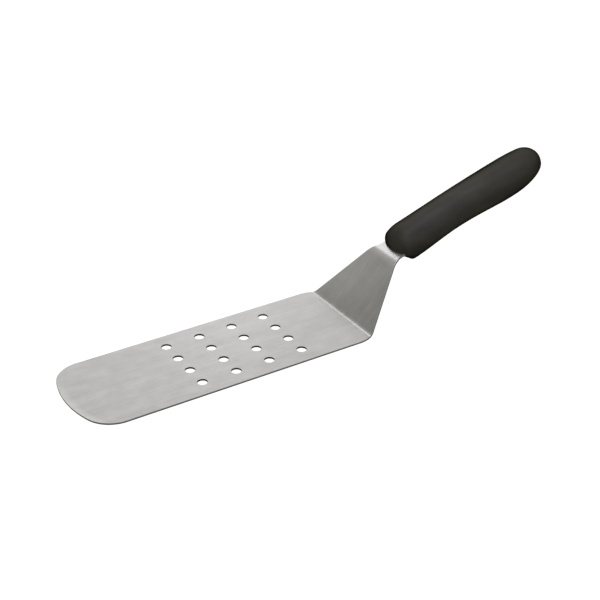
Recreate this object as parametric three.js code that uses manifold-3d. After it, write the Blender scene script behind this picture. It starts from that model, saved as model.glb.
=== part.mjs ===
// Grill spatula: a perforated stainless turner blade with a moulded plastic handle on its tang.
// Millimetres, +Z up. The origin is the middle of the blade's flat underside. +X runs from the
// front edge towards the handle, and the XZ plane is the plane of symmetry.

import * as THREE from 'three';
import { ParametricGeometry } from 'three/addons/geometries/ParametricGeometry.js';
import { mergeVertices } from 'three/addons/utils/BufferGeometryUtils.js';
import Module from 'manifold-3d';

const wasm = await Module();
wasm.setup();

const { clamp, degToRad, lerp, smoothstep } = THREE.MathUtils;

// --- Driving dimensions ----------------------------------------------------------------------

// The sheet. Lengths along it are on its middle surface.
const THICKNESS = 1.2;
const BLADE_LENGTH = 196.8;
const BLADE_WIDTH = 73;
const FRONT_RADIUS = 72.5;
const FRONT_CORNER_RADIUS = 20;
const HEEL_CORNER_RADIUS = 20;

// The front edge is ground to a shallow bevel on its top side. The bevel is a crescent, widest at
// the front edge's middle and gone at GROUND_LENGTH behind it.
const GROUND_WIDTH = 4;
const GROUND_DROP = 0.15;
const GROUND_LENGTH = 10;

// The fold at the heel, the riser that tapers to the neck, and the bend back to the handle's slope.
const FOLD_ANGLE = degToRad(47.5);
const FOLD_RADIUS = 5;
const HEEL_WIDTH = 67.7;
const RISER_LENGTH = 46.65;
const TAPER = 0.433;
const HANDLE_SLOPE = degToRad(17.07);
const NECK_BEND_RADIUS = 12.5;
const NECK_WIDTH = 22.75;

// The hidden tang, measured from the end of the neck bend.
const SHOULDER_START = 7;
const SHOULDER_END = 17;
const TANG_WIDTH = 16;
const TANG_LENGTH = 104;
const KEY_HOLE_RADIUS = 3;
const KEY_HOLE_PLACES = [32, 58, 84];

// Drain holes through the blade.
const HOLE_RADIUS = 3.25;
const HOLE_COLUMNS = 4;
const HOLE_ROWS = 4;
const HOLE_PITCH_X = 23.65;
const HOLE_PITCH_Y = 15.9;
const HOLE_FIELD_CENTRE = 16.1;

// The handle, along the tang from the end of the neck bend. Each outline is a short list of
// [distance behind the handle's nose, size], eased between its points.
const HANDLE_START = 3.75;
const HANDLE_LENGTH = 127.45;
const HALF_WIDTHS = [[0, 13], [51, 12.5], [101, 13.7]];
const TOP_HEIGHTS = [[0, 13.3], [61, 15.2], [121, 14.1]];
const UNDER_DEPTHS = [[9.6, 11.4], [49, 7.9], [104, 11.2]];
const FINGER_GUARD = UNDER_DEPTHS[0][0];
const NOSE_ROUNDING = { side: 5.7, top: 13 };
const TAIL_ROUNDING = { side: 28, top: 12.9, under: 46.6 };
const SECTION_POWER = 2.3;

// Clearance between the tang and the handle moulded round it.
const GAP = 0.3;

// How finely the curves are divided.
const FRONT_STEPS = 14;
const HEEL_STEPS = 6;
const FOLD_STEPS = 6;
const NECK_STEPS = 5;
const SHOULDER_STEPS = 6;
const TANG_END_STEPS = 8;
const HOLE_SIDES = 32;
const HOLE_CUTTER_LENGTH = 12;
const HANDLE_SIDES = 32;
const NOSE_STEPS = 10;
const GRIP_STEPS = 16;
const TAIL_STEPS = 14;
const MERGE_DISTANCE = 1e-4;

const STEEL = { color: 0xbcbbb8, roughness: 0.35, metalness: 1 };
const BLACK_PLASTIC = { color: 0x1c1c1a, roughness: 0.5, metalness: 0 };

// --- The sheet, laid out flat and then folded ------------------------------------------------

const neckTurn = FOLD_ANGLE - HANDLE_SLOPE;
const foldSetback = FOLD_RADIUS * Math.tan(FOLD_ANGLE / 2);
const neckSetback = NECK_BEND_RADIUS * Math.tan(neckTurn / 2);

// The sheet's side view as straight runs and bends, from the front edge to the end of the tang.
const runs = [
  { length: BLADE_LENGTH - foldSetback, turn: 0 },
  { length: FOLD_RADIUS * FOLD_ANGLE, turn: FOLD_ANGLE },
  { length: RISER_LENGTH - foldSetback - neckSetback, turn: 0 },
  { length: NECK_BEND_RADIUS * neckTurn, turn: -neckTurn },
  { length: TANG_LENGTH, turn: 0 },
];
const runEnds = [];
for (const run of runs) {
  const previous = runEnds.length > 0 ? runEnds[runEnds.length - 1] : 0;
  runEnds.push(previous + run.length);
}
const [foldStart, foldEnd, neckStart, tangStart, sheetEnd] = runEnds;

// The place and slope of the sheet's middle surface at a distance from the front edge.
function middleLine(distance) {
  let x = -BLADE_LENGTH / 2;
  let z = THICKNESS / 2;
  let slope = 0;
  let left = distance;
  for (const run of runs) {
    const isLast = run === runs[runs.length - 1];
    const step = isLast ? left : Math.min(left, run.length);
    const bend = run.turn * step / run.length;
    const chord = bend === 0 ? step : 2 * step / bend * Math.sin(bend / 2);
    x += chord * Math.cos(slope + bend / 2);
    z += chord * Math.sin(slope + bend / 2);
    slope += bend;
    left -= step;
    if (left <= 0) break;
  }
  return { x, z, slope };
}

// A point of the flat sheet (distance from the front edge, side, height over the middle surface)
// carried to its place on the folded sheet.
function foldedPoint(distance, side, height, target) {
  const { x, z, slope } = middleLine(distance);
  return target.set(x - height * Math.sin(slope), side, z + height * Math.cos(slope));
}

// The rounded front end is a wide arc between two corner arcs.
const cornerSide = BLADE_WIDTH / 2 - FRONT_CORNER_RADIUS;
const arcCentreGap = FRONT_RADIUS - FRONT_CORNER_RADIUS;
const cornerBehind = Math.sqrt(arcCentreGap ** 2 - cornerSide ** 2);
const frontLength = FRONT_RADIUS - cornerBehind;

// Half the width of the front end. The inset moves the whole outline inwards.
function frontHalfWidth(distance, inset) {
  const wide = FRONT_RADIUS - inset;
  const corner = FRONT_CORNER_RADIUS - inset;
  const arcsMeet = FRONT_RADIUS - cornerBehind * wide / arcCentreGap;
  if (distance <= inset) return 0;
  if (distance < arcsMeet) return Math.sqrt(wide ** 2 - (FRONT_RADIUS - distance) ** 2);
  if (distance < frontLength) return cornerSide + Math.sqrt(corner ** 2 - (frontLength - distance) ** 2);
  return BLADE_WIDTH / 2 - inset;
}

// The heel's corners, where the taper leaves the blade's sides.
const foldLine = (foldStart + foldEnd) / 2;
const taperAngle = Math.atan(TAPER);
const taperMeetsSide = foldLine - (BLADE_WIDTH - HEEL_WIDTH) / 2 / TAPER;
const heelStart = taperMeetsSide - HEEL_CORNER_RADIUS * Math.tan(taperAngle / 2);
const heelEnd = heelStart + HEEL_CORNER_RADIUS * Math.sin(taperAngle);
const taperEnd = foldLine + (HEEL_WIDTH - NECK_WIDTH) / 2 / TAPER;

// Half the width of the blade's heel and the riser.
function taperHalfWidth(distance) {
  if (distance < heelStart) return BLADE_WIDTH / 2;
  if (distance > heelEnd) return HEEL_WIDTH / 2 - TAPER * (distance - foldLine);
  const along = distance - heelStart;
  return BLADE_WIDTH / 2 - HEEL_CORNER_RADIUS + Math.sqrt(HEEL_CORNER_RADIUS ** 2 - along ** 2);
}

// Half the width of the neck and the tang, with the tang's shoulders and its round end.
function tangHalfWidth(distance) {
  const along = distance - tangStart;
  const shoulder = smoothstep(along, SHOULDER_START, SHOULDER_END);
  const width = lerp(NECK_WIDTH, TANG_WIDTH, shoulder);
  const intoEnd = clamp((along - TANG_LENGTH) / (TANG_WIDTH / 2) + 1, 0, 1);
  return width / 2 * Math.sqrt(1 - intoEnd ** 2);
}

function halfWidth(distance) {
  if (distance < FRONT_RADIUS) return frontHalfWidth(distance, 0);
  if (distance < tangStart) return Math.max(taperHalfWidth(distance), NECK_WIDTH / 2);
  return Math.min(Math.max(taperHalfWidth(distance), NECK_WIDTH / 2), tangHalfWidth(distance));
}

// Places for cross-sections, evenly spaced from start and stopping short of end.
function placesBetween(start, end, count) {
  const places = [];
  for (let i = 0; i < count; i += 1) places.push(start + (end - start) * i / count);
  return places;
}

// Like placesBetween, but closing up towards a round start or a round end.
function placesFromRoundStart(start, end, count) {
  return placesBetween(0, Math.PI / 2, count).map((angle) => end - (end - start) * Math.cos(angle));
}

function placesToRoundEnd(start, end, count) {
  return placesBetween(0, Math.PI / 2, count).map((angle) => start + (end - start) * Math.sin(angle));
}

const sheetPlaces = [
  ...placesFromRoundStart(0, frontLength, FRONT_STEPS),
  frontLength,
  ...placesBetween(heelStart, heelEnd, HEEL_STEPS),
  heelEnd,
  ...placesBetween(foldStart, foldEnd, FOLD_STEPS),
  foldEnd,
  ...placesBetween(neckStart, tangStart, NECK_STEPS),
  tangStart,
  taperEnd,
  ...placesBetween(tangStart + SHOULDER_START, tangStart + SHOULDER_END, SHOULDER_STEPS),
  tangStart + SHOULDER_END,
  ...placesToRoundEnd(sheetEnd - TANG_WIDTH / 2, sheetEnd, TANG_END_STEPS),
  sheetEnd,
].sort((a, b) => a - b);

// A closed mesh as a solid that can be joined and cut.
function solidFrom(geometry) {
  const bare = geometry.clone();
  bare.deleteAttribute('normal');
  bare.deleteAttribute('uv');
  const merged = mergeVertices(bare, MERGE_DISTANCE);
  const corners = merged.index.array;
  const kept = [];
  for (let i = 0; i < corners.length; i += 3) {
    const [a, b, c] = corners.slice(i, i + 3);
    if (a !== b && b !== c && c !== a) kept.push(a, b, c);
  }
  return new wasm.Manifold(new wasm.Mesh({
    numProp: 3,
    vertProperties: merged.attributes.position.array,
    triVerts: new Uint32Array(kept),
  }));
}

function geometryFrom(solid) {
  const { vertProperties, triVerts } = solid.getMesh();
  const geometry = new THREE.BufferGeometry();
  geometry.setAttribute('position', new THREE.BufferAttribute(vertProperties, 3));
  geometry.setIndex(new THREE.BufferAttribute(triVerts, 1));
  geometry.computeVertexNormals();
  return geometry;
}

// The sheet's cross-section at one place, anticlockwise seen from the front. It has six corners,
// because of the bevel on the top side.
function sheetSection(place, grow) {
  const bottom = -THICKNESS / 2 - grow;
  const top = THICKNESS / 2 + grow;
  const isEnd = place === 0 || place === sheetEnd;
  const outer = halfWidth(place) + (isEnd ? 0 : grow);
  const ground = 1 - smoothstep(place, 0, GROUND_LENGTH);
  const groundWidth = GROUND_WIDTH * ground;
  const edgeTop = top - GROUND_DROP * ground;
  const ridge = ground > 0 ? frontHalfWidth(place, groundWidth) : outer;
  const ridgeTop = ground > 0 ? lerp(edgeTop, top, clamp(place / groundWidth, 0, 1)) : top;
  return [
    [-outer, bottom], [outer, bottom], [outer, edgeTop],
    [ridge, ridgeTop], [-ridge, ridgeTop], [-outer, edgeTop],
  ];
}

// The folded sheet without its holes, thicker all round by grow.
function sheetSolid(grow) {
  const sections = sheetPlaces.map((place) => sheetSection(place, grow));
  const corners = sections[0].length;
  const surface = (across, along, target) => {
    const number = Math.round(along * (sheetPlaces.length - 1));
    const [side, height] = sections[number][Math.round(across * corners) % corners];
    return foldedPoint(sheetPlaces[number], side, height, target);
  };
  return solidFrom(new ParametricGeometry(surface, corners, sheetPlaces.length - 1));
}

// A round cutter through the sheet, standing square to it.
function sheetHole(distance, side, radius) {
  const cutter = new THREE.CylinderGeometry(radius, radius, HOLE_CUTTER_LENGTH, HOLE_SIDES);
  cutter.rotateX(Math.PI / 2);
  const { x, z, slope } = middleLine(distance);
  cutter.rotateY(-slope);
  cutter.translate(x, side, z);
  return solidFrom(cutter);
}

function bladeWithTang() {
  let sheet = sheetSolid(0);
  const fieldCentre = BLADE_LENGTH / 2 + HOLE_FIELD_CENTRE;
  for (let column = 0; column < HOLE_COLUMNS; column += 1) {
    for (let row = 0; row < HOLE_ROWS; row += 1) {
      const distance = fieldCentre + (column - (HOLE_COLUMNS - 1) / 2) * HOLE_PITCH_X;
      const side = (row - (HOLE_ROWS - 1) / 2) * HOLE_PITCH_Y;
      sheet = sheet.subtract(sheetHole(distance, side, HOLE_RADIUS));
    }
  }
  for (const place of KEY_HOLE_PLACES) {
    sheet = sheet.subtract(sheetHole(tangStart + place, 0, KEY_HOLE_RADIUS));
  }
  return geometryFrom(sheet);
}

// --- The handle ------------------------------------------------------------------------------

// A size read from an outline at a distance behind the nose, eased between the outline's points.
function eased(outline, distance) {
  let size = outline[0][1];
  for (let i = 1; i < outline.length; i += 1) {
    const [start, from] = outline[i - 1];
    const [end, to] = outline[i];
    if (distance >= start) size = from + (to - from) * smoothstep(distance, start, end);
  }
  return size;
}

// From 0 at a rounded end to 1 where the rounding is over, as a quarter ellipse.
function rounding(distanceFromEnd, length) {
  const left = 1 - clamp(distanceFromEnd / length, 0, 1);
  return Math.sqrt(1 - left ** 2);
}

// The handle's half width, height over the tang and depth under it, behind its nose.
function handleSizes(distance) {
  const fromTail = HANDLE_LENGTH - distance;
  const side = rounding(distance, NOSE_ROUNDING.side) * rounding(fromTail, TAIL_ROUNDING.side);
  const top = rounding(distance, NOSE_ROUNDING.top) * rounding(fromTail, TAIL_ROUNDING.top);
  const under = clamp(distance / FINGER_GUARD, 0, 1) * rounding(fromTail, TAIL_ROUNDING.under);
  return {
    halfWidth: eased(HALF_WIDTHS, distance) * side,
    height: eased(TOP_HEIGHTS, distance) * top,
    depth: eased(UNDER_DEPTHS, distance) * under,
  };
}

const handlePlaces = [
  ...placesFromRoundStart(0, FINGER_GUARD, NOSE_STEPS),
  ...placesBetween(FINGER_GUARD, HANDLE_LENGTH - TAIL_ROUNDING.side, GRIP_STEPS),
  ...placesToRoundEnd(HANDLE_LENGTH - TAIL_ROUNDING.side, HANDLE_LENGTH, TAIL_STEPS),
  HANDLE_LENGTH,
];

// The handle's outside: rounded-square cross-sections strung along the tang's line.
function handleBody() {
  const rounded = (value) => Math.sign(value) * Math.abs(value) ** (2 / SECTION_POWER);
  const surface = (around, along, target) => {
    const place = handlePlaces[Math.round(along * (handlePlaces.length - 1))];
    const angle = Math.round(around * HANDLE_SIDES) % HANDLE_SIDES / HANDLE_SIDES * 2 * Math.PI;
    const size = handleSizes(place);
    const side = rounded(Math.cos(angle)) * size.halfWidth;
    const up = rounded(Math.sin(angle)) * (angle < Math.PI ? size.height : size.depth);
    return foldedPoint(tangStart + HANDLE_START + place, side, up, target);
  };
  return solidFrom(new ParametricGeometry(surface, HANDLE_SIDES, handlePlaces.length - 1));
}

function handle() {
  let slot = sheetSolid(GAP);
  for (const place of KEY_HOLE_PLACES) {
    slot = slot.subtract(sheetHole(tangStart + place, 0, KEY_HOLE_RADIUS - GAP));
  }
  return geometryFrom(handleBody().subtract(slot));
}

// --- The assembly ----------------------------------------------------------------------------

function piece(name, geometry, finish) {
  const mesh = new THREE.Mesh(geometry, new THREE.MeshStandardMaterial(finish));
  mesh.name = name;
  return mesh;
}

const spatula = new THREE.Group();
spatula.add(piece('blade_with_tang', bladeWithTang(), STEEL));
spatula.add(piece('handle', handle(), BLACK_PLASTIC));

export default spatula;
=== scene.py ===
"""The looks of the grill spatula: its brushed steel turner sheet and its moulded plastic grip.

Metres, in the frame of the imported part: the origin is the middle of the blade's flat underside,
+X runs from the front edge towards the handle, +Z up.
"""

import math

import bmesh
import bpy
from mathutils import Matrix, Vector
from mathutils.geometry import delaunay_2d_cdt


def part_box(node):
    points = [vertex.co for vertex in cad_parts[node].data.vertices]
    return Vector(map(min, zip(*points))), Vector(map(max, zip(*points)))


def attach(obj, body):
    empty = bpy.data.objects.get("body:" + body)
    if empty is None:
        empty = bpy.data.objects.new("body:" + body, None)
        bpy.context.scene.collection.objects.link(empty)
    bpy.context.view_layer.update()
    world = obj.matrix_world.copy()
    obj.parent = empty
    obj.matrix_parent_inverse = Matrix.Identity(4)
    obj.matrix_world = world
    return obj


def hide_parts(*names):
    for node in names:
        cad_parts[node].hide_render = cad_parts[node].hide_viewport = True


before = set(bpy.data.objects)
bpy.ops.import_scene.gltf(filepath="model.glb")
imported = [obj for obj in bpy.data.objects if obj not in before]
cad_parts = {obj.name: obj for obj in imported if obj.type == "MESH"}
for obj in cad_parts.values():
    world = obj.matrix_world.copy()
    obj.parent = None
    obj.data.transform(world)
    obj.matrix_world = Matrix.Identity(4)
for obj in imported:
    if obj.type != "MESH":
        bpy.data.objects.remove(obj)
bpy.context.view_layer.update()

MM = 0.001

# --- Sizes ---------------------------------------------------------------------------------------

blade_low, blade_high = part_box("blade_with_tang")
grip_low, grip_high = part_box("handle")

# The sheet. Lengths along it are on its middle surface.
THICKNESS = 1.2 * MM
BLADE_LENGTH = -2 * blade_low.x
BLADE_WIDTH = blade_high.y - blade_low.y
FRONT_RADIUS = 72.5 * MM
FRONT_CORNER_RADIUS = 20 * MM
HEEL_CORNER_RADIUS = 20 * MM
EDGE_ROUNDING = 0.16 * MM

# A band of faces this wide keeps the top's large faces off the rounded edge.
RIM_WIDTH = 0.5 * MM

# The front edge is ground to a shallow bevel on its top side. The bevel is a crescent, widest at
# the front edge's middle and gone at GROUND_LENGTH behind it.
GROUND_WIDTH = 4 * MM
GROUND_DROP = 0.15 * MM
GROUND_LENGTH = 10 * MM

FOLD_ANGLE = math.radians(47.5)
FOLD_RADIUS = 5 * MM
HEEL_WIDTH = 67.7 * MM
TAPER = 0.433
RISER_LENGTH = 46.65 * MM
HANDLE_SLOPE = math.radians(17.07)
NECK_BEND_RADIUS = 12.5 * MM
NECK_WIDTH = 22.75 * MM
NECK_FILLET = 1.2 * MM

# The hidden tang, from the end of the neck bend.
SHOULDER_START = 7 * MM
SHOULDER_END = 17 * MM
TANG_WIDTH = 16 * MM
TANG_LENGTH = 104 * MM
KEY_HOLE_RADIUS = 3 * MM
KEY_HOLE_PLACES = [32 * MM, 58 * MM, 84 * MM]

HOLE_RADIUS = 3.25 * MM
HOLE_ROUNDING = 0.07 * MM
HOLE_COLUMNS = 4
HOLE_ROWS = 4
HOLE_PITCH_X = 23.65 * MM
HOLE_PITCH_Y = 15.9 * MM
HOLE_FIELD_CENTRE = 16.1 * MM

# The handle, along the tang from the end of the neck bend. Each outline is a short list of
# (distance behind the handle's nose, size), eased between its points.
HANDLE_START = 3.75 * MM
HANDLE_LENGTH = 127.45 * MM
HALF_WIDTHS = [(0, 13 * MM), (51 * MM, 12.5 * MM), (101 * MM, 13.7 * MM)]
TOP_HEIGHTS = [(0, 13.3 * MM), (61 * MM, 15.2 * MM), (121 * MM, 14.1 * MM)]
UNDER_DEPTHS = [(9.6 * MM, 11.4 * MM), (49 * MM, 7.9 * MM), (104 * MM, 11.2 * MM)]
FINGER_GUARD = UNDER_DEPTHS[0][0]
GUARD_ROUNDING = 0.9 * MM
GUARD_SIDE_ROUNDING = 9 * MM
GUARD_SIDE_POWER = 6
NOSE_SIDE = 5.7 * MM
NOSE_TOP = 13.0 * MM
TAIL_SIDE = 28 * MM
TAIL_TOP = 12.9 * MM
TAIL_UNDER = 46.6 * MM
SECTION_POWER = 2.3
SLOT_GAP = 0.05 * MM

# How finely the curves are divided.
FRONT_STEPS = 24
FRONT_CORNER_STEPS = 30
SIDE_STEPS = 4
HEEL_STEPS = 12
BEND_STEPS = 16
RISER_STEPS = 4
FILLET_STEPS = 6
SHOULDER_STEPS = 10
TANG_END_STEPS = 16
HOLE_SIDES = 64
EDGE_STEPS = 4
HANDLE_SIDES = 112
NOSE_STEPS = 30
GRIP_STEPS = 70
TAIL_STEPS = 34

# --- The sheet's side view: straight runs and bends ----------------------------------------------

neck_turn = FOLD_ANGLE - HANDLE_SLOPE
fold_setback = FOLD_RADIUS * math.tan(FOLD_ANGLE / 2)
neck_setback = NECK_BEND_RADIUS * math.tan(neck_turn / 2)

# Each run of the side view: its length and the angle that it turns upwards.
RUNS = [
    (BLADE_LENGTH - fold_setback, 0),
    (FOLD_RADIUS * FOLD_ANGLE, FOLD_ANGLE),
    (RISER_LENGTH - fold_setback - neck_setback, 0),
    (NECK_BEND_RADIUS * neck_turn, -neck_turn),
    (TANG_LENGTH, 0),
]
fold_start = RUNS[0][0]
fold_end = fold_start + RUNS[1][0]
neck_start = fold_end + RUNS[2][0]
tang_start = neck_start + RUNS[3][0]
sheet_end = tang_start + TANG_LENGTH
fold_line = (fold_start + fold_end) / 2


def folded(distance, side, height):
    """A point of the flat sheet (distance from the front edge, side, height over the middle
    surface), carried to its place on the folded sheet."""
    x, z, slope = -BLADE_LENGTH / 2, THICKNESS / 2, 0.0
    left = distance
    for number, (length, turn) in enumerate(RUNS):
        is_last = number == len(RUNS) - 1
        step = left if is_last else min(left, length)
        bend = turn * step / length
        chord = step if bend == 0 else 2 * step / bend * math.sin(bend / 2)
        x += chord * math.cos(slope + bend / 2)
        z += chord * math.sin(slope + bend / 2)
        slope += bend
        left -= step
        if left <= 0:
            break
    return Vector((x - height * math.sin(slope), side, z + height * math.cos(slope)))


# --- The sheet's outline, laid out flat ----------------------------------------------------------


def between(start, end, count):
    """count values from start, spaced evenly, stopping short of end."""
    return [start + (end - start) * i / count for i in range(count)]


def arc(centre, radius, start, end, count):
    """Points of an arc round a centre, from one angle to another, without the last point."""
    return [
        (centre[0] + radius * math.cos(angle), centre[1] + radius * math.sin(angle))
        for angle in between(start, end, count)
    ]


def ease(value, start, end):
    """From 0 at start to 1 at end, with a smooth beginning and end."""
    t = min(max((value - start) / (end - start), 0), 1)
    return t * t * (3 - 2 * t)


def half_outline():
    """One side of the flat sheet's outline, from the front edge to the end of the tang."""
    half = BLADE_WIDTH / 2
    corner_side = half - FRONT_CORNER_RADIUS
    centre_gap = FRONT_RADIUS - FRONT_CORNER_RADIUS
    corner_behind = math.sqrt(centre_gap**2 - corner_side**2)
    corner_centre = (FRONT_RADIUS - corner_behind, corner_side)
    meet = math.pi - math.atan2(corner_side, corner_behind)
    points = arc((FRONT_RADIUS, 0), FRONT_RADIUS, math.pi, meet, FRONT_STEPS)
    points += arc(corner_centre, FRONT_CORNER_RADIUS, meet, math.pi / 2, FRONT_CORNER_STEPS)

    taper_angle = math.atan(TAPER)
    taper_meets_side = fold_line - (BLADE_WIDTH - HEEL_WIDTH) / 2 / TAPER
    heel_start = taper_meets_side - HEEL_CORNER_RADIUS * math.tan(taper_angle / 2)
    heel_centre = (heel_start, half - HEEL_CORNER_RADIUS)
    points += [(d, half) for d in between(corner_centre[0], heel_start, SIDE_STEPS)]
    square = math.pi / 2
    points += arc(heel_centre, HEEL_CORNER_RADIUS, square, square - taper_angle, HEEL_STEPS)

    taper_places = [heel_start + HEEL_CORNER_RADIUS * math.sin(taper_angle)]
    taper_places += between(fold_start, fold_end, BEND_STEPS)
    taper_places += between(fold_end, neck_start, RISER_STEPS)
    taper_places += between(neck_start, tang_start, BEND_STEPS) + [tang_start]
    points += [(d, HEEL_WIDTH / 2 - TAPER * (d - fold_line)) for d in taper_places]

    kink = fold_line + (HEEL_WIDTH - NECK_WIDTH) / 2 / TAPER
    fillet_end = kink + NECK_FILLET * math.tan(taper_angle / 2)
    fillet_centre = (fillet_end, NECK_WIDTH / 2 + NECK_FILLET)
    points += arc(fillet_centre, NECK_FILLET, -square - taper_angle, -square, FILLET_STEPS)
    points += [(fillet_end, NECK_WIDTH / 2)]

    shoulder_depth = (NECK_WIDTH - TANG_WIDTH) / 2
    for along in between(SHOULDER_START, SHOULDER_END, SHOULDER_STEPS):
        drop = shoulder_depth * ease(along, SHOULDER_START, SHOULDER_END)
        points.append((tang_start + along, NECK_WIDTH / 2 - drop))
    points.append((tang_start + SHOULDER_END, TANG_WIDTH / 2))
    end_centre = (sheet_end - TANG_WIDTH / 2, 0)
    points += arc(end_centre, TANG_WIDTH / 2, square, 0, TANG_END_STEPS)
    return points


def sheet_outline():
    """The whole outline as a closed loop, anticlockwise seen from above."""
    half = half_outline()
    one_side = [(d, -y) for d, y in half]
    other_side = [(d, y) for d, y in reversed(half[1:])]
    return one_side + [(sheet_end, 0)] + other_side


def hole_outline(centre, radius):
    """A hole's loop, clockwise seen from above, so that it faces away from the metal."""
    return arc(centre, radius, 0, -2 * math.pi, HOLE_SIDES)


def drain_holes():
    field_centre = BLADE_LENGTH / 2 + HOLE_FIELD_CENTRE
    holes = []
    for column in range(HOLE_COLUMNS):
        for row in range(HOLE_ROWS):
            distance = field_centre + (column - (HOLE_COLUMNS - 1) / 2) * HOLE_PITCH_X
            side = (row - (HOLE_ROWS - 1) / 2) * HOLE_PITCH_Y
            holes.append(((distance, side), HOLE_RADIUS))
    return holes


def key_holes(radius):
    return [((tang_start + place, 0), radius) for place in KEY_HOLE_PLACES]


def outward_normals(loop):
    """The direction away from the metal at each point of a loop."""
    normals = []
    for i, point in enumerate(loop):
        before, after = loop[i - 1], loop[(i + 1) % len(loop)]
        total = Vector((0, 0))
        for start, end in ((before, point), (point, after)):
            along = Vector(end) - Vector(start)
            total += Vector((along.y, -along.x)).normalized()
        normals.append(total.normalized())
    return normals


def moved_in(loop, inset):
    """A loop moved towards the metal, by one inset or by a list with an inset for each point."""
    insets = inset if isinstance(inset, list) else [inset] * len(loop)
    return [
        Vector(point) - normal * distance
        for point, normal, distance in zip(loop, outward_normals(loop), insets)
    ]


def ground_share(distance):
    """How much of the bevel is left at a distance behind the front edge."""
    return 1 - ease(distance, 0, GROUND_LENGTH)


def rim_width(distance):
    """From the outline in to the ridge where the bevel meets the flat top."""
    return max(GROUND_WIDTH * ground_share(distance), RIM_WIDTH)


# --- The sheet's mesh ----------------------------------------------------------------------------

# Material numbers: the rolled faces, the sheared outline and the walls of the punched holes.
FACE, EDGE, PUNCHED = range(3)

# Points closer than these are taken as one point, along the sheet and in the flat triangles.
SAME_PLACE = 0.001 * MM
SAME_POINT_MM = 1e-5


def edge_profile(rounding, half):
    """The edge's cross-section from the top face to the bottom face, as (inset, height). Half
    is half the thickness."""
    quarter = [i * math.pi / 2 / EDGE_STEPS for i in range(EDGE_STEPS + 1)]
    upper = [
        (rounding * (1 - math.sin(a)), half - rounding * (1 - math.cos(a))) for a in quarter
    ]
    lower = [(inset, -height) for inset, height in reversed(upper)]
    return upper + lower


def is_inside(point, loop):
    """Whether a line from the point towards -X crosses the loop an odd number of times."""
    inside = False
    for i, (x0, y0) in enumerate(loop):
        x1, y1 = loop[i - 1]
        if (y0 > point[1]) != (y1 > point[1]):
            crossing = x1 + (point[1] - y1) * (x0 - x1) / (y0 - y1)
            inside ^= point[0] < crossing
    return inside


def flat_triangles(loops, lines):
    """Triangles over the first loop without the others. Lines holds pairs of indexes of the
    first loop's points that become edges."""
    points = [point for loop in loops for point in loop]
    edges = list(lines)
    first = 0
    for loop in loops:
        edges += [(first + i, first + (i + 1) % len(loop)) for i in range(len(loop))]
        first += len(loop)
    scaled = [Vector(point) / MM for point in points]
    made = delaunay_2d_cdt(scaled, edges, [], 0, SAME_POINT_MM)
    if len(made[0]) != len(points):
        raise RuntimeError("two edges of the flat sheet cross")
    triangles = []
    for corners in made[2]:
        middle = sum((Vector(points[i]) for i in corners), Vector((0, 0))) / 3
        if not is_inside(middle, loops[0]):
            continue
        if any(is_inside(middle, hole) for hole in loops[1:]):
            continue
        triangles.append(corners)
    return triangles


def cross_lines(loop):
    """Pairs of loop points on opposite sides of the sheet, at each step of the two bends."""
    pairs = []
    places = between(fold_start, fold_end, BEND_STEPS) + [fold_end]
    places += between(neck_start, tang_start, BEND_STEPS) + [tang_start]
    for place in places:
        near = [i for i, (d, _) in enumerate(loop) if abs(d - place) < SAME_PLACE]
        if len(near) == 2:
            pairs.append(tuple(near))
    return pairs


class SheetMesh:
    """Collects the folded sheet's faces, with the flat sheet's coordinates as their UV map."""

    def __init__(self):
        self.mesh = bmesh.new()
        self.uv_layer = self.mesh.loops.layers.uv.new("sheet")
        self.flat_places = {}

    def ring(self, loop, height):
        """A vertex for each point of a loop; height is a number or a list of numbers."""
        heights = height if isinstance(height, list) else [height] * len(loop)
        ring = []
        for point, up in zip(loop, heights):
            vertex = self.mesh.verts.new(folded(point[0], point[1], up))
            self.flat_places[vertex] = tuple(point)
            ring.append(vertex)
        return ring

    def face(self, corners, material):
        made = self.mesh.faces.new(corners)
        made.material_index = material
        made.smooth = True
        for corner in made.loops:
            corner[self.uv_layer].uv = self.flat_places[corner.vert]

    def band(self, upper, lower, material):
        for i in range(len(upper)):
            after = (i + 1) % len(upper)
            self.face([upper[i], lower[i], lower[after], upper[after]], material)

    def finish(self, name):
        data = bpy.data.meshes.new(name)
        self.mesh.to_mesh(data)
        self.mesh.free()
        return data


def add_outline_edge(sheet, loop, profile, top, bottom):
    """The bevel, and under it the rounded sheared edge, round the whole outline."""
    drops = [GROUND_DROP * ground_share(d) for d, _ in loop]
    rings = []
    for inset, height in profile[:-1]:
        heights = [height - drop if height > 0 else height for drop in drops]
        rings.append(sheet.ring(moved_in(loop, inset), heights))
    sheet.band(top, rings[0], FACE)
    for upper, lower in zip(rings, rings[1:] + [bottom]):
        sheet.band(upper, lower, EDGE)


def add_hole_wall(sheet, loop, profile, top, bottom):
    rings = [top]
    for inset, height in profile[1:-1]:
        rings.append(sheet.ring(moved_in(loop, inset), height))
    for upper, lower in zip(rings, rings[1:] + [bottom]):
        sheet.band(upper, lower, PUNCHED)


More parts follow.
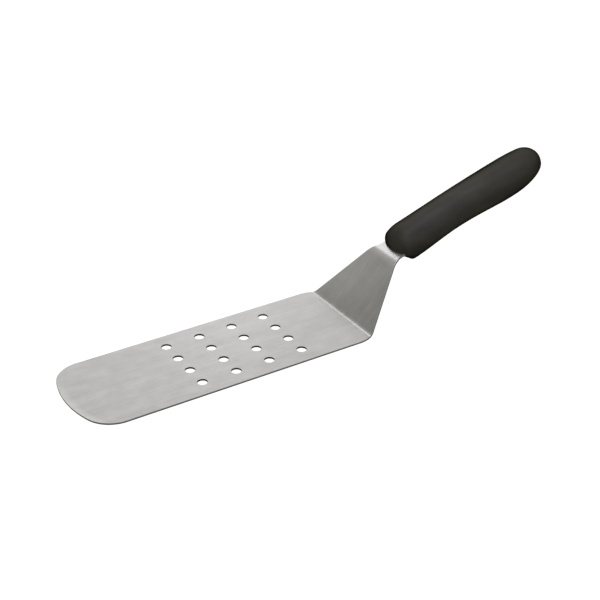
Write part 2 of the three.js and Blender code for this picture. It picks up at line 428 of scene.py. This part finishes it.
def sheet_mesh(name, holes, rounding, hole_rounding, grow=0.0):
    """The folded sheet as a closed mesh with rounded edges. Grow makes it thicker all round."""
    half = THICKNESS / 2 + grow
    outline = sheet_outline()
    lines = cross_lines(outline)
    outer = moved_in(outline, -grow)
    hole_loops = [hole_outline(*hole) for hole in holes]
    hole_rims = [moved_in(loop, hole_rounding) for loop in hole_loops]
    top_loops = [moved_in(outer, [rim_width(d) for d, _ in outline])] + hole_rims
    bottom_loops = [moved_in(outer, rounding)] + hole_rims

    sheet = SheetMesh()
    top = [sheet.ring(loop, half) for loop in top_loops]
    bottom = [sheet.ring(loop, -half) for loop in bottom_loops]
    top_points = [vertex for ring in top for vertex in ring]
    bottom_points = [vertex for ring in bottom for vertex in ring]
    for corners in flat_triangles(top_loops, lines):
        sheet.face([top_points[i] for i in corners], FACE)
    for corners in flat_triangles(bottom_loops, lines):
        sheet.face([bottom_points[i] for i in reversed(corners)], FACE)

    add_outline_edge(sheet, outer, edge_profile(rounding, half), top[0], bottom[0])
    hole_profile = edge_profile(hole_rounding, half)
    for loop, upper, lower in zip(hole_loops, top[1:], bottom[1:]):
        add_hole_wall(sheet, loop, hole_profile, upper, lower)
    return sheet.finish(name)


# --- The handle's mesh ---------------------------------------------------------------------------


def eased(outline, distance):
    """A size read from an outline at a distance behind the nose."""
    size = outline[0][1]
    for (start, size_before), (end, size_after) in zip(outline, outline[1:]):
        if distance >= start:
            size = size_before + (size_after - size_before) * ease(distance, start, end)
    return size


def rounding_at(distance_from_end, length):
    """From 0 at a rounded end to 1 where the rounding is over, as a quarter ellipse."""
    left = 1 - min(max(distance_from_end / length, 0), 1)
    return math.sqrt(1 - left**2)


def soft_minimum(a, b, blend):
    """The smaller of two values, with the corner where they swap rounded off."""
    share = max(blend - abs(a - b), 0) / blend
    return min(a, b) - share * share * blend / 4


def handle_sizes(distance):
    """The handle's half width and its height over the tang."""
    from_tail = HANDLE_LENGTH - distance
    side = rounding_at(distance, NOSE_SIDE) * rounding_at(from_tail, TAIL_SIDE)
    top = rounding_at(distance, NOSE_TOP) * rounding_at(from_tail, TAIL_TOP)
    return eased(HALF_WIDTHS, distance) * side, eased(TOP_HEIGHTS, distance) * top


def handle_depth(distance, towards_side):
    """The handle's depth under the tang. The finger guard's corner is crisp underneath and
    soft towards the handle's sides."""
    guard_slope = UNDER_DEPTHS[0][1] / FINGER_GUARD
    softness = towards_side**GUARD_SIDE_POWER
    blend = GUARD_ROUNDING + (GUARD_SIDE_ROUNDING - GUARD_ROUNDING) * softness
    under = soft_minimum(guard_slope * distance, eased(UNDER_DEPTHS, distance), blend)
    return max(under, 0) * rounding_at(HANDLE_LENGTH - distance, TAIL_UNDER)


def handle_places():
    """Where the handle's cross-sections stand, closing up towards both ends."""
    nose_angles = between(0, math.pi / 2, NOSE_STEPS)
    tail_angles = between(0, math.pi / 2, TAIL_STEPS)
    nose = [NOSE_TOP * (1 - math.cos(a)) for a in nose_angles[1:]]
    middle = between(NOSE_TOP, HANDLE_LENGTH - TAIL_SIDE, GRIP_STEPS)
    tail = [HANDLE_LENGTH - TAIL_SIDE * (1 - math.sin(a)) for a in tail_angles]
    return nose + middle + tail


def handle_body(name):
    """The handle's outside: rounded-square cross-sections strung along the tang's line."""
    mesh = bmesh.new()

    def signed_power(value):
        return math.copysign(abs(value) ** (2 / SECTION_POWER), value)

    def axis_point(distance, side=0.0, up=0.0):
        return mesh.verts.new(folded(tang_start + HANDLE_START + distance, side, up))

    rings = []
    for place in handle_places():
        half_width, height = handle_sizes(place)
        ring = []
        for i in range(HANDLE_SIDES):
            angle = 2 * math.pi * i / HANDLE_SIDES
            is_top = angle < math.pi
            reach = height if is_top else handle_depth(place, abs(math.cos(angle)))
            up = signed_power(math.sin(angle)) * reach
            side = signed_power(math.cos(angle)) * half_width
            ring.append(axis_point(place, side, up))
        rings.append(ring)
    nose, tail = axis_point(0), axis_point(HANDLE_LENGTH)
    for i in range(HANDLE_SIDES):
        after = (i + 1) % HANDLE_SIDES
        mesh.faces.new([nose, rings[0][after], rings[0][i]])
        mesh.faces.new([tail, rings[-1][i], rings[-1][after]])
        for front, back in zip(rings, rings[1:]):
            mesh.faces.new([front[i], front[after], back[after], back[i]])
    bmesh.ops.recalc_face_normals(mesh, faces=mesh.faces)
    data = bpy.data.meshes.new(name)
    mesh.to_mesh(data)
    mesh.free()
    return data


def add_object(name, data):
    made = bpy.data.objects.new(name, data)
    bpy.context.scene.collection.objects.link(made)
    return made


def straighten_shared_edges(data):
    """Takes out each point that has only two edges. The cut leaves them where one face of the
    body meets one face of the cutter, and the triangles beside them would overlap."""
    mesh = bmesh.new()
    mesh.from_mesh(data)
    for vertex in list(mesh.verts):
        if len(vertex.link_edges) == 2:
            bmesh.utils.vert_collapse_edge(vertex, vertex.link_edges[0])
    mesh.to_mesh(data)
    mesh.free()


def cut(body, cutter):
    """Takes the cutter out of the body for good, and removes the cutter."""
    boolean = body.modifiers.new("cut", "BOOLEAN")
    boolean.operation = "DIFFERENCE"
    boolean.solver = "EXACT"
    boolean.object = cutter
    evaluated = body.evaluated_get(bpy.context.evaluated_depsgraph_get())
    result = bpy.data.meshes.new_from_object(evaluated)
    straighten_shared_edges(result)
    body.modifiers.clear()
    body.data = result
    bpy.data.objects.remove(cutter)


# --- Materials -----------------------------------------------------------------------------------


def colour_output(mix):
    for output in mix.outputs:
        if output.type == "RGBA":
            return output
    raise RuntimeError("the mix node has no colour output")


class Nodes:
    """A material's node tree, with short ways to add and join nodes."""

    def __init__(self, material):
        material.use_nodes = True
        self.tree = material.node_tree
        self.shader = self.tree.nodes["Principled BSDF"]

    def add(self, kind, **settings):
        node = self.tree.nodes.new(kind)
        for key, value in settings.items():
            if hasattr(node, key):
                setattr(node, key, value)
            else:
                node.inputs[key].default_value = value
        return node

    def join(self, source, target):
        self.tree.links.new(source, target)

    def stretched(self, source, scale):
        """Texture coordinates scaled by a different amount along each axis."""
        mapping = self.add("ShaderNodeMapping", Scale=scale)
        self.join(source, mapping.inputs["Vector"])
        return mapping.outputs["Vector"]

    def noise(self, coordinates, detail=4.0, roughness=0.5):
        node = self.add("ShaderNodeTexNoise", Scale=1.0, Detail=detail, Roughness=roughness)
        self.join(coordinates, node.inputs["Vector"])
        return node.outputs["Fac"]

    def ranged(self, source, low, high, start=0.3, end=0.7):
        """A value between start and end, taken to the range from low to high."""
        node = self.add("ShaderNodeMapRange")
        for key, value in zip(("From Min", "From Max", "To Min", "To Max"), (start, end, low, high)):
            node.inputs[key].default_value = value
        self.join(source, node.inputs["Value"])
        return node.outputs["Result"]

    def combined(self, operation, sources):
        result = sources[0]
        for source in sources[1:]:
            node = self.add("ShaderNodeMath", operation=operation)
            self.join(result, node.inputs[0])
            self.join(source, node.inputs[1])
            result = node.outputs[0]
        return result

    def total(self, *sources):
        return self.combined("ADD", sources)

    def product(self, *sources):
        return self.combined("MULTIPLY", sources)

    def blend_colours(self, factor, first, second):
        node = self.add("ShaderNodeMix", data_type="RGBA")
        node.inputs["A"].default_value = (*first, 1)
        node.inputs["B"].default_value = (*second, 1)
        self.join(factor, node.inputs["Factor"])
        return colour_output(node)

    def bump(self, height, distance, strength):
        node = self.add("ShaderNodeBump", Distance=distance, Strength=strength)
        self.join(height, node.inputs["Height"])
        return node.outputs["Normal"]


def painted_light_tone(nodes, sheet):
    """The sheet's slow change of tone, which is painted light and shade: a painted highlight on the
    ground front edge, painted light towards its left side, on the neck and on the right-hand corner
    of the heel, and painted shade just above the fold and on the riser's right."""
    place = nodes.add("ShaderNodeSeparateXYZ")
    nodes.join(sheet, place.inputs[0])
    along, side = place.outputs["X"], place.outputs["Y"]
    # Painted light on the right-hand corner of the heel.
    heel = nodes.product(
        nodes.ranged(along, 0.0, 0.23, 0.7 * BLADE_LENGTH, 0.97 * BLADE_LENGTH),
        nodes.ranged(along, 1.0, 0.0, fold_start, fold_end),
        nodes.ranged(side, 1.0, 0.0, -0.38 * BLADE_WIDTH, -0.1 * BLADE_WIDTH),
    )
    from_arc_centre = nodes.add("ShaderNodeVectorMath", operation="DISTANCE")
    nodes.join(sheet, from_arc_centre.inputs[0])
    from_arc_centre.inputs[1].default_value = (FRONT_RADIUS, 0, 0)
    reach = from_arc_centre.outputs["Value"]
    # Painted highlight along the ground front edge, fading towards the left side.
    front = nodes.product(
        nodes.ranged(reach, 0.0, 0.36, FRONT_RADIUS - GROUND_WIDTH - 1 * MM, FRONT_RADIUS),
        nodes.ranged(along, 1.0, 0.0, 2 * GROUND_LENGTH, 3 * GROUND_LENGTH),
        nodes.ranged(side, 1.0, 0.2, 0.15 * BLADE_WIDTH, 0.4 * BLADE_WIDTH),
    )
    riser_middle = (fold_end + neck_start) / 2
    # Painted light and shade across the riser: paler on its left, darker on its right.
    riser = nodes.product(
        nodes.ranged(side, -0.22, 0.14, -0.25 * BLADE_WIDTH, 0.22 * BLADE_WIDTH),
        nodes.ranged(along, 0.0, 1.0, fold_end, riser_middle),
        nodes.ranged(along, 1.0, 0.4, riser_middle, neck_start),
    )
    # Painted light towards the left side, on the riser and on the neck; painted shade towards the
    # front and from the fold on.
    return nodes.total(
        front,
        nodes.ranged(side, 0.0, 0.23, -BLADE_WIDTH / 2, BLADE_WIDTH / 2),
        nodes.ranged(along, -0.035, 0.0, 0.1 * BLADE_LENGTH, 0.5 * BLADE_LENGTH),
        nodes.ranged(along, 0.0, -0.09, fold_start, fold_end),
        nodes.ranged(along, 0.0, 0.22, fold_end, riser_middle),
        nodes.ranged(along, 0.0, 0.20, neck_start, tang_start),
        heel,
        riser,
    )


def brushed_steel(name, dark, light, roughness, anisotropy, grain_strength):
    """Steel with a fine grain along the sheet. The grain follows the sheet round its bends,
    because its coordinates are the flat sheet's. Noise is stretched by its marks per metre,
    along the sheet and across it."""
    material = bpy.data.materials.new(name)
    nodes = Nodes(material)
    sheet = nodes.add("ShaderNodeUVMap", uv_map="sheet").outputs["UV"]
    fine_grain = nodes.noise(nodes.stretched(sheet, (110, 3200, 1)), detail=5, roughness=0.6)
    streaks = nodes.noise(nodes.stretched(sheet, (32, 760, 1)), detail=3)
    bands = nodes.noise(nodes.stretched(sheet, (11, 150, 1)), detail=3)
    patches = nodes.noise(nodes.stretched(sheet, (70, 90, 1)), detail=4, roughness=0.6)
    # Colour from the grain's random marks, plus the sheet's painted light and shade.
    tone = nodes.total(
        nodes.ranged(fine_grain, 0.0, 0.14),
        nodes.ranged(streaks, 0.0, 0.115),
        nodes.ranged(bands, -0.015, 0.092),
        nodes.ranged(patches, -0.025, 0.195),
        painted_light_tone(nodes, sheet),
    )
    nodes.join(nodes.blend_colours(tone, dark, light), nodes.shader.inputs["Base Color"])
    rough = nodes.total(
        nodes.ranged(fine_grain, roughness - 0.03, roughness + 0.03),
        nodes.ranged(patches, -0.02, 0.02),
    )
    nodes.join(rough, nodes.shader.inputs["Roughness"])
    nodes.join(nodes.bump(fine_grain, 0.02 * MM, grain_strength), nodes.shader.inputs["Normal"])
    nodes.shader.inputs["Metallic"].default_value = 1
    nodes.shader.inputs["Anisotropic"].default_value = anisotropy
    across = nodes.add("ShaderNodeCombineXYZ", Y=1.0)
    nodes.join(across.outputs[0], nodes.shader.inputs["Tangent"])
    return material


def moulded_plastic(name):
    """Black moulded plastic with a very fine texture, which keeps it matt where it is seen edge-on.
    Its colour is darkened where it is seen edge-on, a painted shade, and lightened along its middle,
    a painted light; the middle also has a little more shine."""
    material = bpy.data.materials.new(name)
    nodes = Nodes(material)
    place = nodes.add("ShaderNodeTexCoord").outputs["Object"]
    peel = nodes.noise(nodes.stretched(place, (1400, 1400, 1400)), detail=2)
    flow = nodes.noise(nodes.stretched(place, (40, 90, 90)), detail=3)
    edge_on = nodes.add("ShaderNodeLayerWeight", Blend=0.5).outputs["Facing"]
    place_parts = nodes.add("ShaderNodeSeparateXYZ")
    nodes.join(place, place_parts.inputs[0])
    along = place_parts.outputs["X"]
    # The grip's middle, lightened as painted light and given a little more shine.
    middle = nodes.product(
        nodes.ranged(along, 0, 1, grip_low.x, grip_low.x + 20 * MM),
        nodes.ranged(along, 1, 0, grip_high.x - 60 * MM, grip_high.x - 10 * MM),
    )
    # Painted shade where the grip is seen edge-on and painted light along its middle, on top of the
    # flow's random tone.
    shade = nodes.total(
        nodes.ranged(flow, 0, 0.45),
        nodes.ranged(middle, 0, 0.15, 0, 1),
        nodes.ranged(edge_on, 0.4, 0, 0.4, 0.75),
    )
    nodes.join(
        nodes.blend_colours(shade, (0.010, 0.0096, 0.0072), (0.067, 0.0640, 0.0490)),
        nodes.shader.inputs["Base Color"],
    )
    nodes.join(nodes.ranged(flow, 0.50, 0.56), nodes.shader.inputs["Roughness"])
    nodes.join(nodes.bump(peel, 0.03 * MM, 0.25), nodes.shader.inputs["Normal"])
    shine = nodes.product(
        nodes.ranged(edge_on, 0.47, 0.0, 0.15, 0.6),
        nodes.ranged(middle, 0.6, 1.0, 0, 1),
    )
    nodes.join(shine, nodes.shader.inputs["Specular IOR Level"])
    nodes.shader.inputs["Specular Tint"].default_value = (0.74, 0.72, 1.0, 1)
    return material


# --- The pieces ----------------------------------------------------------------------------------

# An edge sharper than this is shaded as an edge.
SHEET_SHARP_ANGLE = math.radians(25)
GRIP_SHARP_ANGLE = math.radians(35)

# The sheet's three finishes. The tone runs from dark to light.
ROLLED_FACE = {
    "name": "rolled_face",
    "dark": (0.412, 0.404, 0.414),
    "light": (0.811, 0.797, 0.816),
    "roughness": 0.36,
    "anisotropy": 0.6,
    "grain_strength": 0.2,
}
SHEARED_EDGE = {
    "name": "sheared_edge",
    "dark": (0.41, 0.41, 0.40),
    "light": (0.59, 0.59, 0.57),
    "roughness": 0.55,
    "anisotropy": 0.2,
    "grain_strength": 0.4,
}
# The hole walls are rough steel, darkened further with painted shade.
PUNCHED_WALL_PAINTED_SHADE = {
    "name": "punched_wall_painted_shade",
    "dark": (0.065, 0.065, 0.063),
    "light": (0.12, 0.12, 0.117),
    "roughness": 0.5,
    "anisotropy": 0.2,
    "grain_strength": 0.4,
}


def make_blade():
    holes = drain_holes() + key_holes(KEY_HOLE_RADIUS)
    data = sheet_mesh("blade_sheet", holes, EDGE_ROUNDING, HOLE_ROUNDING)
    data.set_sharp_from_angle(angle=SHEET_SHARP_ANGLE)
    for finish in (ROLLED_FACE, SHEARED_EDGE, PUNCHED_WALL_PAINTED_SHADE):
        data.materials.append(brushed_steel(**finish))
    blade = add_object("blade_sheet", data)
    weighted = blade.modifiers.new("flat_faces", "WEIGHTED_NORMAL")
    weighted.keep_sharp = True
    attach(blade, "root")
    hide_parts("blade_with_tang")
    return blade


def make_grip():
    grip = add_object("grip", handle_body("grip"))
    slot_keys = key_holes(KEY_HOLE_RADIUS - SLOT_GAP)
    slot = add_object("slot", sheet_mesh("slot", slot_keys, SLOT_GAP, SLOT_GAP, SLOT_GAP))
    cut(grip, slot)
    grip.data.name = "grip"
    grip.data.materials.clear()
    grip.data.materials.append(moulded_plastic("moulded_black"))
    for polygon in grip.data.polygons:
        polygon.use_smooth = True
        polygon.material_index = 0
    grip.data.set_sharp_from_angle(angle=GRIP_SHARP_ANGLE)
    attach(grip, "root")
    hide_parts("handle")
    return grip


# --- The studio ----------------------------------------------------------------------------------

VIEW_AZIMUTH = math.radians(-32.09)
VIEW_ELEVATION = math.radians(29.81)
VIEW_DISTANCE = 0.875
VIEW_LENS = 81.94
SENSOR_WIDTH = 36
AIM_BEFORE_HEEL = 33 * MM
AIM_HEIGHT = 21.1 * MM
AIM = Vector((BLADE_LENGTH / 2 - AIM_BEFORE_HEEL, 0, AIM_HEIGHT))

FLOOR_HALF_SIZE = 6
FLOOR_GAP = 0.02 * MM
BACKGROUND_WHITE = 0.97


def view_direction(azimuth, elevation):
    """From the object towards a viewer at that azimuth and elevation."""
    flat = math.cos(elevation)
    return Vector((math.sin(azimuth) * flat, -math.cos(azimuth) * flat, math.sin(elevation)))


def aimed(made, place, target):
    made.location = place
    made.rotation_euler = (target - place).to_track_quat("-Z", "Y").to_euler()
    return made


def make_camera():
    data = bpy.data.cameras.new("camera")
    data.lens = VIEW_LENS
    data.sensor_width = SENSOR_WIDTH
    data.clip_start = 0.01
    camera = add_object("camera", data)
    back = view_direction(VIEW_AZIMUTH, VIEW_ELEVATION)
    aimed(camera, AIM + back * VIEW_DISTANCE, AIM)
    bpy.context.scene.camera = camera


def softbox(name, direction, distance, size, watts):
    """A flat rectangular light that faces the point the camera looks at."""
    data = bpy.data.lights.new(name, "AREA")
    data.shape = "RECTANGLE"
    data.size, data.size_y = size
    data.energy = watts
    light = add_object(name, data)
    aimed(light, AIM + Vector(direction).normalized() * distance, AIM)


def make_lights():
    softbox("high_back", (0.26, 0.64, 0.74), distance=1.6, size=(0.565, 0.405), watts=1.47)
    softbox("back_panel", (0.61, 0.64, 0.445), distance=1.6, size=(1.04, 0.71), watts=1.57)
    softbox("top", (-0.12, -0.2, 1.0), distance=1.2, size=(0.9, 0.9), watts=3.9)
    softbox("side", (0.85, -0.45, 0.25), distance=1.5, size=(0.8, 0.5), watts=1.0)


def make_floor():
    """A plain pale floor. The camera sees it nearly white; the object sees it as a dark grey, so
    that the steel and the black grip keep their contrast."""
    mesh = bmesh.new()
    bmesh.ops.create_grid(mesh, x_segments=1, y_segments=1, size=FLOOR_HALF_SIZE)
    data = bpy.data.meshes.new("floor")
    mesh.to_mesh(data)
    mesh.free()
    floor = add_object("floor", data)
    floor.location.z = blade_low.z - FLOOR_GAP
    material = bpy.data.materials.new("floor")
    nodes = Nodes(material)
    nodes.shader.inputs["Base Color"].default_value = (0.2, 0.2, 0.2, 1)
    nodes.shader.inputs["Roughness"].default_value = 1
    nodes.shader.inputs["Specular IOR Level"].default_value = 0
    nodes.shader.inputs["Emission Color"].default_value = (1, 1, 1, 1)
    rays = nodes.add("ShaderNodeLightPath")
    glow = nodes.ranged(rays.outputs["Is Camera Ray"], 0.0, BACKGROUND_WHITE, 0, 1)
    nodes.join(glow, nodes.shader.inputs["Emission Strength"])
    floor.data.materials.append(material)


def make_world():
    """The camera sees a nearly white background; the object is lit by a dim one."""
    world = bpy.data.worlds.new("studio")
    bpy.context.scene.world = world
    world.use_nodes = True
    tree = world.node_tree
    background = tree.nodes["Background"]
    rays = tree.nodes.new("ShaderNodeLightPath")
    mix = tree.nodes.new("ShaderNodeMix")
    mix.data_type = "RGBA"
    mix.inputs["A"].default_value = (0.408, 0.411, 0.377, 1)
    mix.inputs["B"].default_value = (BACKGROUND_WHITE, BACKGROUND_WHITE, BACKGROUND_WHITE, 1)
    tree.links.new(rays.outputs["Is Camera Ray"], mix.inputs["Factor"])
    tree.links.new(colour_output(mix), background.inputs["Color"])


make_blade()
make_grip()
make_camera()
make_floor()
make_world()
make_lights()
bpy.context.scene.view_settings.view_transform = "Standard"
